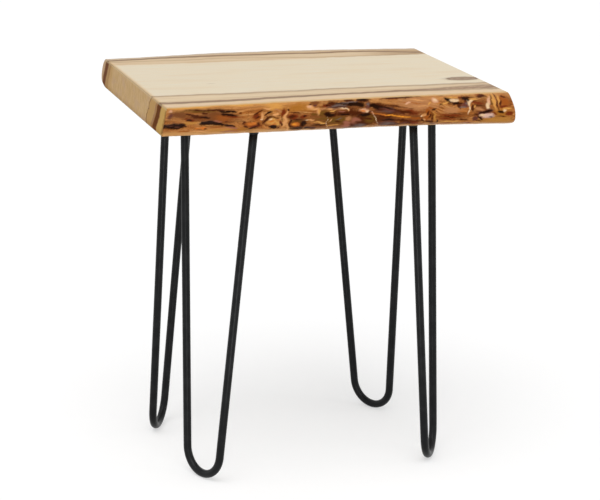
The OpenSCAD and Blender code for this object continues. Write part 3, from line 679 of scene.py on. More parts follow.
class Slab:
    """The slab's mesh, and the measures that its materials read by name."""

    def __init__(self):
        self.shape = shape = SlabShape()
        width = float(np.mean(shape.back_y[:, -1] - shape.front_y[:, -1]))
        self.shares = across_shares(width)
        self.y = self.across(shape.front_y, shape.back_y)
        x = np.broadcast_to((shape.x - SLAB_LEN / 2)[:, None, None], self.y.shape)
        z = np.broadcast_to((UNDERSIDE + shape.height)[..., None], self.y.shape)
        points = np.stack([x, self.y, z], axis=-1).reshape(-1, 3)
        numbers = np.arange(self.y.size).reshape(self.y.shape)
        sheets = [
            (numbers[:, :, 0], FRONT, False),
            (numbers[:, :, -1], BACK, True),
            (numbers[:, -1, :2], FRONT, False),
            (numbers[:, -1, 1:-1], LONG, False),
            (numbers[:, -1, -2:], BACK, False),
            (numbers[:, 0, :2], FRONT, True),
            (numbers[:, 0, 1:-1], LONG, True),
            (numbers[:, 0, -2:], BACK, True),
            (numbers[0], END, True),
            (numbers[-1], END, False),
        ]
        faces = [grid_faces(grid, flip) for grid, _, flip in sheets]
        kinds = np.concatenate([[kind] * len(f) for f, (_, kind, _) in zip(faces, sheets)])
        faces = np.concatenate(faces)
        self.used = np.unique(faces)
        renumber = np.zeros(numbers.size, dtype=int)
        renumber[self.used] = np.arange(len(self.used))
        self.object = mesh_object("slab", points[self.used], renumber[faces], kinds)
        self.add_streaks()
        self.add_bark()
        self.object.modifiers.new("even_normals", "WEIGHTED_NORMAL").keep_sharp = True

    def across(self, front, back):
        """Values of the front and the back live edge, spread evenly between them."""
        return front[..., None] + (back - front)[..., None] * self.shares

    def measure(self, name, values, kind="FLOAT"):
        """Gives each point of the slab a number, or a vector."""
        layer = self.object.data.attributes.new(name, kind, "POINT")
        wide = np.broadcast_to(values, self.y.shape + values.shape[3:])
        flat = wide.reshape((self.y.size,) + values.shape[3:])[self.used]
        field = "value" if kind == "FLOAT" else "vector"
        layer.data.foreach_set(field, flat.astype(np.float32).ravel())

    def add_streaks(self):
        """Distances from the dark streaks, which lean as they go down through the slab."""
        shape = self.shape
        share = shape.x / SLAB_LEN
        front_top = shape.front_line[:, -1][:, None, None]
        back_top = shape.back_line[:, -1][:, None, None]

        def column(values):
            return along(values, share)[:, None, None]

        def drift(values):
            return np.interp(shape.z, DRIFT_HEIGHTS, values)[None, :, None]

        from_front = self.y - front_top
        from_back = back_top - self.y
        streak_2 = from_front - column(STREAK_2) - drift(STREAK_2_DRIFT)
        rim = shape.rim[None, :, None]
        rim_front = rim + self.y - shape.front_y[..., None]
        rim_back = rim + shape.back_y[..., None] - self.y
        self.measure("rim_front", rim_front)
        self.measure("rim_back", rim_back)
        self.measure("inside_front", rim_front - column(FRONT_REACH))
        self.measure("inside_back", rim_back - column(BACK_REACH))
        self.measure("streak_1", from_front - column(STREAK_1) - drift(STREAK_1_DRIFT))
        self.measure("streak_2", streak_2 / column(STREAK_2_HALF))
        back_lines = {"back_line": BACK_LINE, "back_second": BACK_SECOND,
                      "back_limit": BACK_LIMIT}
        for name, line in back_lines.items():
            self.measure(name, from_back - column(line) + drift(BACK_DRIFT))

    def add_bark(self):
        """What the nearer live edge carries."""
        near_front = self.shares < 0.5

        def nearer(front, back):
            return np.where(near_front, front[..., None], back[..., None])

        front, back = self.shape.front_bark, self.shape.back_bark
        self.measure("bark_grain", nearer(front.grain, back.grain))
        self.measure("bark_rings", nearer(front.rings, back.rings))
        self.measure("bark_cover", nearer(front.cover, back.cover))
        parts = [nearer(front.colour[..., i], back.colour[..., i]) for i in range(3)]
        self.measure("bark_colour", np.stack(parts, axis=-1), "FLOAT_VECTOR")


# The hairpin legs: round bar bent in one plane, which leans outwards to the foot

ROD_SIDES = 40
BEND_STEPS = 36
STRAIGHT_STEPS = 24
WELD_STEPS = 6
WELD_SIDES = 72
WELD_BEADS = 14
# Depth of the steps of a weld's run, and the share of it at the weld's lower edge
WELD_SCALLOP = 0.25
SCALLOP_LOW = 0.4
ROD_TOP = UNDERSIDE - PLATE_T
FOOT_Z = (ROD_D - BEND_DRAW) / 2
DROP = ROD_TOP - FOOT_Z
TILT = math.atan(SPLAY / DROP)
RISE = DROP / math.cos(TILT) - BEND_R


class LegFrame:
    """Turns places in one leg's own frame, with its rods along X, into places on the table."""

    def __init__(self, leg):
        turn = math.radians(PLATE_TURN[leg])
        out = np.array([SIDE_X[leg] * math.sin(turn), SIDE_Y[leg] * math.cos(turn)])
        x = SIDE_X[leg] * (SLAB_LEN / 2 - END_INSET[leg]) - ROD_SPREAD / 2 * out[0]
        side = SLAB_W / 2 - EDGE_INSET[leg] - ROD_SPREAD / 2 * math.sin(turn)
        self.middle = np.array([x, SIDE_Y[leg] * side, 0])
        self.out = np.array([out[0], out[1], 0])
        self.right = np.array([out[1], -out[0], 0])

    def place(self, points):
        points = np.asarray(points, float)
        up = np.array([0, 0, 1])
        return (self.middle + points[..., :1] * self.right + points[..., 1:2] * self.out
                + points[..., 2:] * up)


def rod_lean(reach):
    """Angle by which a straight stretch leans outwards, tangent to the bend."""
    return math.acos(BEND_R / math.hypot(reach, RISE)) - math.atan2(RISE, reach)


def rod_line(lean):
    """Middle line of a bent rod in its own plane, as rows of place, direction and radius."""
    right, left = ROD_SPREAD / 2 - lean, ROD_SPREAD / 2 + lean
    thin, full = (ROD_D - BEND_DRAW) / 2, ROD_D / 2
    turns = np.linspace(math.pi + rod_lean(left), 2 * math.pi - rod_lean(right), BEND_STEPS + 1)
    bend = [((BEND_R * math.cos(a), BEND_R * (1 + math.sin(a))),
             (-math.sin(a), math.cos(a)), thin) for a in turns]

    def straight(row, reach, sense):
        (u, w), (along_u, along_w), _ = row
        length = math.sqrt(reach ** 2 + RISE ** 2 - BEND_R ** 2)
        gone = [sense * length * share for share in np.linspace(0, 1, STRAIGHT_STEPS + 1)[1:]]
        return [((u + along_u * d, w + along_w * d), (along_u, along_w), full) for d in gone]

    return straight(bend[0], left, -1)[::-1] + bend + straight(bend[-1], right, 1)


def ring_faces(numbers, flip=False):
    """Faces between rings of vertex numbers, each ring closed on itself."""
    closed = np.concatenate([numbers, numbers[:, :1]], axis=1)
    return grid_faces(closed, flip)


def bent_rod(lean):
    """Skin of one bent rod in its leg's frame: points as rings, with flat-cut ends."""
    out_w = np.array([0, -math.sin(TILT), math.cos(TILT)])
    level = np.array([1.0, 0, 0])
    beside = np.array([0, math.cos(TILT), math.sin(TILT)])
    foot = np.array([lean, SPLAY, FOOT_Z])
    angles = np.arange(ROD_SIDES) * 2 * math.pi / ROD_SIDES
    rings = []
    rows = rod_line(lean)
    for i, ((u, w), (along_u, along_w), radius) in enumerate(rows):
        middle = foot + u * level + w * out_w
        ahead = along_u * level + along_w * out_w
        normal = along_w * level - along_u * out_w
        ring = middle + radius * (np.cos(angles)[:, None] * normal
                                  + np.sin(angles)[:, None] * beside)
        if i in (0, len(rows) - 1):
            slide = (ROD_TOP - ring[:, 2]) / ahead[2]
            ring = ring + slide[:, None] * ahead
        rings.append(ring)
    return np.array(rings)


def weld_bead(side):
    """One weld in its leg's frame: a hollow fillet round the rod with the steps of its run."""
    angles = np.arange(WELD_SIDES) * 2 * math.pi / WELD_SIDES
    scallop = WELD_SCALLOP * np.abs(np.sin(angles * WELD_BEADS / 2))
    rings = []
    for share in np.linspace(0, 1, WELD_STEPS + 1):
        spread = WELD_TOE + (WELD - WELD_TOE) * (1 - math.sqrt(1 - share ** 2))
        radius = ROD_D / 2 + spread - scallop * (SCALLOP_LOW + (1 - SCALLOP_LOW) * share)
        ring = np.stack([side * ROD_SPREAD / 2 + radius * np.cos(angles),
                         radius * np.sin(angles),
                         np.full(WELD_SIDES, ROD_TOP - WELD + WELD * share)], axis=-1)
        rings.append(ring)
    return np.array(rings)


def make_hairpin(leg):
    """Rod and welds of one leg as one piece, in place of the CAD rod."""
    frame_of_leg = LegFrame(leg)
    points, faces, count = [], [], 0
    for rings in (bent_rod(FOOT_LEAN[leg]), weld_bead(-1), weld_bead(1)):
        numbers = count + np.arange(rings.shape[0] * rings.shape[1]).reshape(rings.shape[:2])
        points.append(rings.reshape(-1, 3))
        faces += ring_faces(numbers).tolist()
        faces += [numbers[0].tolist(), numbers[-1][::-1].tolist()]
        count += numbers.size
    placed = frame_of_leg.place(np.concatenate(points))
    hairpin = mesh_object("hairpin_" + LEGS[leg], placed, faces)
    hairpin.data.polygons.foreach_set("use_smooth", [len(face) == 4 for face in faces])
    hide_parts(LEGS[leg] + "_rod")
    return hairpin


# Materials

# Tint of the varnish's gloss, as a linear colour
VARNISH_TINT = (1.0, 0.5, 0.25, 1.0)
# Colours of the legs' coat and of the screws' zinc
COAT_DARK = (18, 19, 20)
COAT_LIGHT = (28, 29, 30)
ZINC_DULL = (150, 152, 156)
ZINC_BRIGHT = (190, 190, 188)

# Noises of the sawn wood: the sizes of their cells in millimetres, with detail and roughness
WOOD_GRAIN = ((70, 3.4, 3.4), 4, 0.6)
WOOD_FINE = ((40, 0.7, 0.7), 3, 0.6)
WOOD_PORES = ((9, 0.35, 0.35), 2)
WOOD_BROAD = ((150, 26, 26), 2)
WOOD_BANDS = ((130, 4.5, 4.5), 2)
WOOD_FIBRES = ((22, 0.5, 0.5), 3)
WOOD_SWAY = ((60, 40, 30), 1)
WOOD_JITTER = ((14, 9, 5), 2)
KNOT_JITTER = ((7, 4, 4), 2)
# How far each line of the sawn wood moves with the sway and with the jitter
LINE_WAVER = {
    "streak_1": (3, 1.6),
    "streak_2": (0, 0.3),
    "back_line": (3, 1.5),
    "back_second": (4, 2),
    "back_limit": (3, 3),
}
# Pale seams in the second streak, in its own half widths from its middle
STREAK_SEAMS = (-0.45, 0.25)
# Growth rings of the sawn ends: how fast their noise runs across them and along them, for
# each millimetre of y and of z
END_RINGS = ((0.16, 0.07), (-0.006, 0.05))
# Noises of the sawn ends
END_CLOUDS = ((30, 34, 13), 2)
END_PORES = ((0.9, 0.5, 0.8), 2)
END_RAYS = ((3, 0.8, 9), 3)
END_JITTER = ((9, 7, 5), 3)
# Noises of the live edges' skin, along X and across the grain
SKIN_FLOW = ((44, 2.8, 1), 5, 0.66)
SKIN_FIBRES = ((15, 0.5, 1), 3, 0.6)
SKIN_BROAD = ((44, 15, 1), 2)
SKIN_CONTOUR = ((26, 3.6, 1), 1)
SKIN_TREMBLE = ((5, 1.6, 1), 3)
SKIN_SWAY = ((16, 8, 8), 2)
# Turn of the dark rings' wave, in radians, for each radius of a knot
RING_PACE = 11
# Dark contour lines of the skin: the level of the noise that each follows, and its strength
SKIN_CONTOURS = ((0.42, 0.5), (0.5, 0.6), (0.58, 0.5))
# Noises of the legs' coat and of the zinc
COAT_PEEL = ((0.9, 0.9, 0.9), 2)
COAT_WORN = ((14, 14, 14), 3)
ZINC_CLOUD = ((2.5, 2.5, 2.5), 3)


def paint(colour):
    """An sRGB colour, 0 to 255, as the linear colour that Blender works in."""
    parts = [c / 255 for c in colour]
    linear = [c / 12.92 if c <= 0.04045 else ((c + 0.055) / 1.055) ** 2.4 for c in parts]
    return (*linear, 1.0)


class Value:
    """An output of a material's graph. Arithmetic on it adds Math nodes."""

    def __init__(self, graph, socket):
        self.graph = graph
        self.socket = socket

    def __add__(self, other):
        return self.graph.math("ADD", self, other)

    def __sub__(self, other):
        return self.graph.math("SUBTRACT", self, other)

    def __mul__(self, other):
        return self.graph.math("MULTIPLY", self, other)

    def __truediv__(self, other):
        return self.graph.math("DIVIDE", self, other)


class Graph:
    """A new material, with short calls that add nodes to it."""

    def __init__(self, name):
        self.material = bpy.data.materials.new(name)
        self.material.use_nodes = True
        self.tree = self.material.node_tree
        self.shader = self.tree.nodes["Principled BSDF"]

    def feed(self, socket, value):
        if isinstance(value, Value):
            self.tree.links.new(value.socket, socket)
        else:
            socket.default_value = value

    def node(self, kind, inputs, output=0, **settings):
        node = self.tree.nodes.new("ShaderNode" + kind)
        for name, value in settings.items():
            setattr(node, name, value)
        for place, value in inputs.items():
            self.feed(node.inputs[place], value)
        return Value(self, node.outputs[output])

    def math(self, operation, a, b=0.0):
        return self.node("Math", {0: a, 1: b}, operation=operation)

    def place(self):
        """Place on the object in millimetres."""
        metres = self.node("TexCoord", {}, "Object")
        return self.node("VectorMath", {0: metres, 3: 1 / MM}, operation="SCALE")

    def split(self, vector):
        parts = self.node("SeparateXYZ", {0: vector})
        outputs = parts.socket.node.outputs
        return [Value(self, outputs[i]) for i in range(3)]

    def join(self, x, y, z=0.0):
        return self.node("CombineXYZ", {0: x, 1: y, 2: z})

    def noise(self, vector, detail=2.0, roughness=0.5):
        """Noise about 1 unit across, from 0 to 1 with most of it near 0.5."""
        inputs = {"Vector": vector, "Scale": 1.0, "Detail": detail, "Roughness": roughness}
        return self.node("TexNoise", inputs)

    def cells(self, vector, sizes, detail=2.0, roughness=0.5):
        """Noise in cells of these sizes in millimetres: a bigger size is a longer grain."""
        shares = tuple(1 / size for size in sizes)
        place = self.node("VectorMath", {0: vector, 1: shares}, operation="MULTIPLY")
        return self.noise(place, detail, roughness)

    def sway(self, vector, sizes, detail):
        """Noise in cells of these sizes, mostly from -0.5 to 0.5."""
        return (self.cells(vector, sizes, detail) - 0.5) * 2

    def step(self, value, low, high):
        """0 below low and 1 above high, smooth between; falling where low is above high."""
        inputs = {"Value": value, "From Min": low, "From Max": high}
        return self.node("MapRange", inputs, interpolation_type="SMOOTHSTEP")

    def line(self, value, half, soft):
        """1 along the middle of a line of this half width, and 0 outside it."""
        return self.step(self.math("ABSOLUTE", value), half, half * (1 - soft))

    def measure(self, name):
        return self.node("Attribute", {}, "Fac", attribute_name=name)

    def mix(self, share, a, b):
        a, b = [paint(c) if isinstance(c, tuple) else c for c in (a, b)]
        return self.node("Mix", {0: share, 6: a, 7: b}, 2, data_type="RGBA")

    def bump(self, height, distance, strength):
        """Relief of this height, where a height of 1 stands for the distance in millimetres."""
        inputs = {"Height": height, "Distance": distance * MM, "Strength": strength}
        return self.node("Bump", inputs)

    def finish(self, **sockets):
        for name, value in sockets.items():
            title = name.replace("_", " ").title().replace("Ior", "IOR")
            self.feed(self.shader.inputs[title], value)
        return self.material


class Layers:
    """Colour of a material, built up in layers over a ground colour."""

    def __init__(self, graph, ground):
        self.graph = graph
        self.colour = ground

    def lay(self, share, colour):
        """Covers this share of the colour so far with a new one."""
        self.colour = self.graph.mix(share, self.colour, colour)

    def step(self, value, low, high, strength, colour):
        """Lays a colour where the value is past high, fading out towards low."""
        self.lay(self.graph.step(value, low, high) * strength, colour)

    def line(self, value, half, soft, strength, colour):
        """Lays a line of this half width where the value passes 0, soft towards its sides."""
        self.lay(self.graph.line(value, half, soft) * strength, colour)


def knot_reach(g, x, y, at_x, at_y, half_x, half_y):
    """Distance from a knot's middle, in its own half sizes."""
    u, v = (x - at_x) / half_x, (y - at_y) / half_y
    return g.math("SQRT", u * u + v * v)


def lay_knot(g, wood, place):
    """Knot of the top near its right end, with dark rings and a tail towards the end."""
    x, y, _ = g.split(place)
    jitter = g.sway(place, *KNOT_JITTER)
    reach = knot_reach(g, x, y, *TOP_KNOT) + jitter * 0.16
    tail = knot_reach(g, x, y, *TOP_TAIL) + jitter * 0.2
    wood.step(tail, 1.2, 0.5, 0.6, KNOT_HEART)
    wood.step(reach, 1.5, 0.8, 0.35, KNOT_HEART)
    wood.step(reach, 1.08, 0.78, 0.8, KNOT_HEART)
    wood.line(reach - 0.86, 0.14, 0.9, 0.65, KNOT_RIM)
    wood.line(reach - 0.5, 0.08, 0.9, 0.45, KNOT_RIM)
    wood.step(reach, 0.24, 0.08, 0.5, KNOT_RIM)


def heart_wood(g, place):
    """Colour of the sawn wood: cream, with the heart streaks and the brown back zone."""
    x, y, z = g.split(place)
    around = knot_reach(g, x, y, *TOP_PARTING)
    parted = y - (y - TOP_KNOT[1]) / (around * around + 1)
    flow = g.join(x, parted, z)
    grain = g.cells(flow, *WOOD_GRAIN)
    fine = g.cells(flow, *WOOD_FINE)
    pores = g.cells(flow, *WOOD_PORES)
    broad = g.cells(flow, *WOOD_BROAD)
    bands = g.step(g.cells(flow, *WOOD_BANDS), 0.42, 0.6)
    sway = g.sway(place, *WOOD_SWAY)
    jitter = g.sway(place, *WOOD_JITTER)
    streak_1, streak_2, back_line, back_second, back_limit = [
        g.measure(name) + sway * by_sway + jitter * by_jitter
        for name, (by_sway, by_jitter) in LINE_WAVER.items()
    ]

    wood = Layers(g, CREAM_WARM)
    wood.step(grain, 0.3, 0.7, 1, CREAM)
    wood.step(broad, 0.5, 0.7, 0.3, TAN_LIGHT)
    wood.step(streak_1, 2, -6, 0.8, TAN_LIGHT)
    wood.step(streak_1, 2, -6, bands * 0.55, TAN)
    wood.step(streak_2, -0.7, -1.6, 0.85, BLUSH_WOOD)
    wood.step(back_limit, 3, -5, 0.85, TAN_LIGHT)
    wood.step(back_limit, 0, -8, bands * 0.5 + 0.3, TAN)
    wood.step(back_limit, 2, -2, g.step(x, *WEDGE_FROM) * 0.8, BACK_WEDGE)
    # Painted highlight along the left end's arris: the top turns tan, then golden, over its last
    # 9 mm towards that end only.
    from_end = x + SLAB_LEN / 2
    wood.step(from_end, 9, 1, 0.45, TAN_LIGHT)
    wood.step(from_end, 4, 1, 0.6, TOP_ARRIS_HIGHLIGHT)

    wood.line(back_second, 5, 0.9, 0.5, BACK_MIDDLE)
    wood.step(back_line, 9, 2, 0.7, BACK_TAN)
    wood.line(back_line, 8, 0.9, 1, BACK_BROWN)
    wood.line(streak_1 + 2, 9, 0.9, 0.45, STREAK_BROWN)
    wood.line(streak_1, 4.5, 0.8, 0.5, STREAK_BROWN)
    wood.line(streak_2, 1.25, 0.7, 0.95, g.mix(bands * 0.6, STREAK_TAUPE, STREAK_MAUVE))
    parted_streak = g.step(x, *SEAMS_FROM) * 0.5
    for across in STREAK_SEAMS:
        wood.line(streak_2 - across + jitter * 0.1, 0.16, 0.9, parted_streak, BLUSH_WOOD)

    wood.step(fine, 0.52, 0.8, 0.3, TAN)
    wood.step(pores, 0.6, 0.8, 0.12, STREAK_BROWN)
    dash = knot_reach(g, x, y, *TOP_DASH) + jitter * 0.3
    wood.step(dash, 1.2, 0.4, 0.6, KNOT_HEART)
    lay_knot(g, wood, place)
    return wood.colour


def slab_long():
    """Sawn and varnished faces along the grain."""
    g = Graph("slab_long_grain")
    place = g.place()
    fibres = g.cells(place, *WOOD_FIBRES)
    return g.finish(base_color=heart_wood(g, place), roughness=0.42, specular_ior_level=0.06,
                    normal=g.bump(fibres, 0.05, 0.5))


def slab_end():
    """Sawn ends: growth rings seen end on, and the leaning cuts through the dark streaks."""
    g = Graph("slab_end_grain")
    place = g.place()
    _, y, z = g.split(place)
    jitter = g.sway(place, *END_JITTER)
    rings_at = [y * by_y + z * by_z for by_y, by_z in END_RINGS]
    rings = g.noise(g.join(*rings_at), 4, 0.6)
    clouds = g.cells(place, *END_CLOUDS)
    pores = g.cells(place, *END_PORES)
    rays = g.cells(place, *END_RAYS)
    wood = Layers(g, END_TAN)
    wood.step(rings, 0.38, 0.62, 1, END_LIGHT)
    wood.step(clouds, 0.5, 0.66, 0.55, END_ROSE)
    wood.step(rays, 0.5, 0.75, 0.2, END_GOLD)
    wood.step(pores, 0.5, 0.75, 0.25, END_BROWN)

    streak_1 = g.measure("streak_1") + jitter * 6
    streak_2 = g.measure("streak_2") * STREAK_2_HALF[0] + jitter * 2.5
    back_line = g.measure("back_line") + jitter * 2
    wood.step(streak_1, 2, -3, 0.8, END_OCHRE)
    wood.line(streak_1 - 1, 4, 0.9, 0.5, END_BROWN)
    wood.line(streak_1, 1.6, 0.8, 0.6, END_DARK)
    wood.line(streak_2 - 15, 7, 0.9, 0.7, END_MAUVE)
    wood.line(streak_2, 15, 0.6, 1, END_BROWN)
    wood.line(streak_2, 11, 0.5, 0.78, END_DARK)
    wood.step(streak_2, -8, -14, 0.7, END_STRAW)
    wood.step(back_line, 52, 30, 0.5, END_OCHRE)
    wood.line(back_line - 20, 10, 0.9, 0.4, END_BROWN)
    wood.line(back_line, 16, 0.75, 1, END_UMBER)
    wood.step(back_line, -8, -13, 0.9, END_ROSE)
    bark_depth = g.measure("rim_front") - ON_FACE + jitter * 5 + (rays - 0.5) * 8
    wood.step(bark_depth, 9, 2, 0.7, END_BROWN)

    height = z - UNDERSIDE
    wood.step(height + jitter * 4, 10, 1, 0.25, END_BROWN)
    # Painted highlight: each end turns pale towards its top arris.
    wood.step(height, SLAB_T - 4.5, SLAB_T - 1, 0.6, END_ARRIS_HIGHLIGHT)
    return g.finish(base_color=wood.colour, roughness=0.55, specular_ior_level=0.01,
                    specular_tint=VARNISH_TINT, normal=g.bump(pores, 0.12, 0.6))


def live_edge_skin(g, x, height):
    """Layers of a live edge's skin under its marks, its fibres, its relief and its tremble."""
    grain, rings = g.measure("bark_grain"), g.measure("bark_rings")
    flow_at = g.join(x, grain)
    tremble = g.sway(flow_at, *SKIN_TREMBLE)
    flow = g.cells(flow_at, *SKIN_FLOW)
    fibres = g.cells(flow_at, *SKIN_FIBRES)
    broad = g.cells(g.join(x, height), *SKIN_BROAD)
    contour = g.cells(flow_at, *SKIN_CONTOUR) + tremble * 0.02

    skin = Layers(g, SKIN_DEEP)
    skin.step(flow, 0.36, 0.5, 1, SKIN)
    skin.step(flow, 0.5, 0.62, 0.8, SKIN_LIGHT)
    skin.step(flow, 0.62, 0.74, 0.7, SKIN_PALE)
    skin.step(broad, 0.5, 0.68, 0.45, SKIN_LIGHT)
    skin.step(broad, 0.48, 0.34, 0.45, SKIN_DEEP)
    for level, strength in SKIN_CONTOURS:
        skin.line(contour - level, 0.016, 0.9, strength, SKIN_LINE)
    waves = g.math("SINE", rings * RING_PACE + tremble * 3)
    skin.step(waves, 0.2, 1.0, g.step(rings, 1.7, 0.7) * 0.5, SKIN_LINE)
    skin.step(height, 33, 42, 0.6, SKIN_LIGHT)
    # Paler towards the bottom: partly a gold tone of the wood, partly painted light that lifts
    # the undercut lower face, which the lamps reach less.
    skin.step(height, 11, 3, 0.6, SKIN_PALE)
    skin.step(fibres, 0.52, 0.75, 0.35, SKIN_LINE)
    return skin, fibres, flow * 0.6 + fibres * 0.4, tremble


def slab_live_edge(side):
    """Varnished bark side of the slab with its marks, and the pale wood past its rim."""
    g = Graph("slab_%s_live_edge" % side)
    place = g.place()
    x, _, z = g.split(place)
    skin, fibres, relief, tremble = live_edge_skin(g, x, z - UNDERSIDE)
    skin.lay(g.measure("bark_cover"), BLACK)
    marks = g.node("Attribute", {}, "Vector", attribute_name="bark_colour")
    skin.colour = g.node("VectorMath", {0: skin.colour, 1: marks}, operation="ADD")
    skin.step(fibres, 0.5, 0.8, 0.35, MARK_COLOURS["char"][0])

    sway = g.sway(place, *SKIN_SWAY)
    inside = g.measure("inside_" + side) + tremble * 1.6 + sway * 2
    rim = g.measure("rim_" + side) + tremble * 0.8 + sway
    inner, outer = RIM_COLOURS[side]
    edge = Layers(g, heart_wood(g, place))
    edge.step(inside, 9, 2, 1, inner)
    edge.step(inside, 4, -1, 1, outer)
    edge.step(rim, 3.4, 1, 1, skin.colour)
    return g.finish(base_color=edge.colour, roughness=0.36, specular_ior_level=0.09,
                    specular_tint=VARNISH_TINT, normal=g.bump(relief, 0.5, 0.7))


def black_coat():
    """Black powder coat with a slight orange peel."""
    g = Graph("black_powder_coat")
    place = g.place()
    orange_peel = g.cells(place, *COAT_PEEL)
    worn = g.cells(place, *COAT_WORN)
    colour = g.mix(g.step(worn, 0.4, 0.7), COAT_DARK, COAT_LIGHT)
    return g.finish(base_color=colour, roughness=g.step(worn, -1, 2) * 0.2 + 0.24,
                    specular_ior_level=0.14, normal=g.bump(orange_peel, 0.05, 0.5))


def zinc():
    """Zinc plate of the screws."""
    g = Graph("zinc_plate")
    cloud = g.cells(g.place(), *ZINC_CLOUD)
    colour = g.mix(g.step(cloud, 0.35, 0.65), ZINC_DULL, ZINC_BRIGHT)
    return g.finish(base_color=colour, metallic=1.0, roughness=g.step(cloud, 0, 1) * 0.2 + 0.25)


# Camera, which stands where the photograph was taken from

CAMERA_AT = (-840.5, -2602.7, 1055.8)
CAMERA_YAW = 18.0
CAMERA_PITCH = 15.538
CAMERA_ROLL = 1.194
CAMERA_LENS = 118.06


def make_camera():
    yaw, pitch, roll = map(math.radians, (CAMERA_YAW, CAMERA_PITCH, CAMERA_ROLL))
    forward = Vector((math.sin(yaw) * math.cos(pitch), math.cos(yaw) * math.cos(pitch),
                      -math.sin(pitch)))
    level = Vector((math.cos(yaw), -math.sin(yaw), 0))
    upright = level.cross(forward)
    right = math.cos(roll) * level + math.sin(roll) * upright
    up = math.cos(roll) * upright - math.sin(roll) * level
    data = bpy.data.cameras.new("camera")
    data.lens = CAMERA_LENS
    camera = in_scene(bpy.data.objects.new("camera", data))
    turn = Matrix((right, up, -forward)).transposed().to_4x4()
    camera.matrix_world = Matrix.Translation(Vector(CAMERA_AT) * MM) @ turn
    bpy.context.scene.camera = camera


# Studio, in metres and watts

WORLD_LEVEL = 0.5
SUN_LEVEL = 1.6
SUN_SPREAD = 50
SUN_HEADING = (0.25, 0.35, -1.0)
FLOOR_HALF = 12.0
FLOOR_WHITE = (188, 188, 188)
FLOOR_GLOW = 0.5
# Where the two upright lamps face, and each one's place, size and power
LAMP_TARGET = (0, 0, 0.5)
FRONT_LAMP = ((-1.0, -2.6, 1.0), (0.3, 1.8), 10)
RIGHT_LAMP = ((2.4, -1.0, 1.2), (0.8, 1.6), 7)
STRIP_AWAY = 1.5
STRIP_HEIGHT = 0.01
STRIP_SIZE = (0.16, 1.9)
STRIP_POWER = 8


def heading(direction):
    """Turn of a lamp that shines in a direction."""
    return Vector(direction).to_track_quat("-Z", "Y")


def add_light(name, kind, turn):
    data = bpy.data.lights.new(name, kind)
    light = in_scene(bpy.data.objects.new(name, data))
    light.rotation_mode = "QUATERNION"
    light.rotation_quaternion = turn
    return light


def area_light(name, turn, at, size, power):
    light = add_light(name, "AREA", turn)
    light.location = at
    light.data.shape = "RECTANGLE"
    light.data.size, light.data.size_y = size
    light.data.energy = power


def lamp(name, at, size, power):
    """Upright lamp that faces the middle of the table."""
    area_light(name, heading(Vector(LAMP_TARGET) - Vector(at)), at, size, power)


def seen_directly(tree):
    """1 for what the camera sees, also in mirrors and through glass, and 0 for the light."""
    path = tree.nodes.new("ShaderNodeLightPath")
    total = path.outputs["Is Camera Ray"]
    for name in ("Is Glossy Ray", "Is Transmission Ray"):
        larger = tree.nodes.new("ShaderNodeMath")
        larger.operation = "MAXIMUM"
        tree.links.new(total, larger.inputs[0])
        tree.links.new(path.outputs[name], larger.inputs[1])
        total = larger.outputs[0]
    return total


def make_world():
    """White where the camera looks, and a plain light level for the rest."""
    world = bpy.data.worlds.new("studio")
    bpy.context.scene.world = world
    world.use_nodes = True
    tree = world.node_tree
    background = tree.nodes["Background"]
    bright = tree.nodes.new("ShaderNodeMapRange")
    bright.inputs["To Min"].default_value = WORLD_LEVEL
    bright.inputs["To Max"].default_value = 1.0
    tree.links.new(seen_directly(tree), bright.inputs["Value"])
    background.inputs["Color"].default_value = (1, 1, 1, 1)
    tree.links.new(bright.outputs[0], background.inputs["Strength"])


def make_sun():
    """Broad, soft light from above, a little from the camera's left."""
    sun = add_light("sun", "SUN", heading(SUN_HEADING))
    sun.data.energy = SUN_LEVEL
    sun.data.angle = math.radians(SUN_SPREAD)


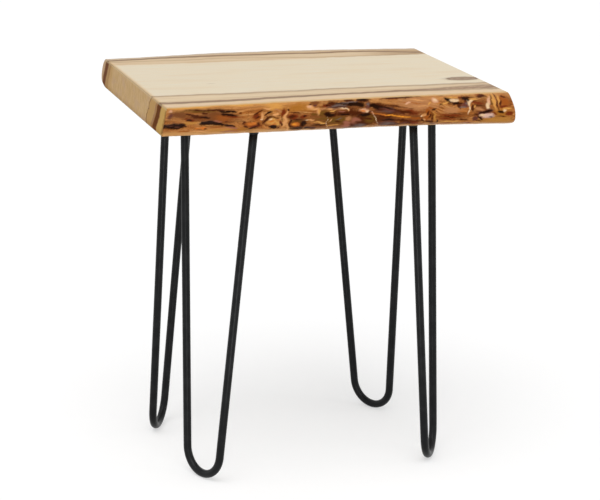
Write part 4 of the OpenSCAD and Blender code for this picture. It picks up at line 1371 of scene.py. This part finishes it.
def make_floor():
    """White floor that keeps the table's soft shadow, and is clear when seen from below."""
    g = Graph("floor")
    glow = Value(g, seen_directly(g.tree)) * FLOOR_GLOW
    g.finish(base_color=paint(FLOOR_WHITE), roughness=0.9, emission_color=(1, 1, 1, 1),
             emission_strength=glow)
    below = g.node("NewGeometry", {}, "Backfacing")
    clear = g.node("BsdfTransparent", {})
    shown = g.node("MixShader", {0: below, 1: Value(g, g.shader.outputs[0]), 2: clear})
    g.feed(g.tree.nodes["Material Output"].inputs["Surface"], shown)
    half = FLOOR_HALF / MM
    corners = [(-half, -half, 0), (half, -half, 0), (half, half, 0), (-half, half, 0)]
    floor = mesh_object("floor", corners, [(0, 1, 2, 3)])
    floor.data.materials.append(g.material)


def make_floor_strip():
    """Strip that lies on the floor towards the camera, which the upright rods mirror."""
    yaw = math.radians(CAMERA_YAW)
    at = (-STRIP_AWAY * math.sin(yaw), -STRIP_AWAY * math.cos(yaw), STRIP_HEIGHT)
    face_up = Euler((math.pi, 0, -yaw)).to_quaternion()
    area_light("strip", face_up, at, STRIP_SIZE, STRIP_POWER)


def make_studio():
    make_world()
    make_sun()
    make_floor()
    lamp("front", *FRONT_LAMP)
    make_floor_strip()
    lamp("right", *RIGHT_LAMP)


# The pieces

EDGE_ROUND = 0.5
ROUNDING_STEPS = 2
SHARP_ANGLE = 40


def dress(thing, material):
    """Gives a CAD piece a material and slightly rounded edges."""
    if not thing.material_slots:
        thing.data.materials.append(None)
    for slot in thing.material_slots:
        slot.link = "OBJECT"
        slot.material = material
    rounding = thing.modifiers.new("rounding", "BEVEL")
    rounding.width = EDGE_ROUND * MM
    rounding.segments = ROUNDING_STEPS
    rounding.limit_method = "ANGLE"
    rounding.angle_limit = math.radians(SHARP_ANGLE)
    rounding.harden_normals = True


def main():
    bpy.context.scene.view_settings.view_transform = "Standard"
    make_camera()
    slab = Slab().object
    for material in (slab_long(), slab_end(),
                     slab_live_edge("front"), slab_live_edge("back")):
        slab.data.materials.append(material)
    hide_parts("slab_top")
    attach(slab, "root")

    black, bright = black_coat(), zinc()
    for leg in range(len(LEGS)):
        hairpin = make_hairpin(leg)
        hairpin.data.materials.append(black)
        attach(hairpin, "root")
    for name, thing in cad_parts.items():
        if name.endswith("_plate"):
            dress(thing, black)
        if name.endswith("_screws"):
            dress(thing, bright)
    make_studio()


main()
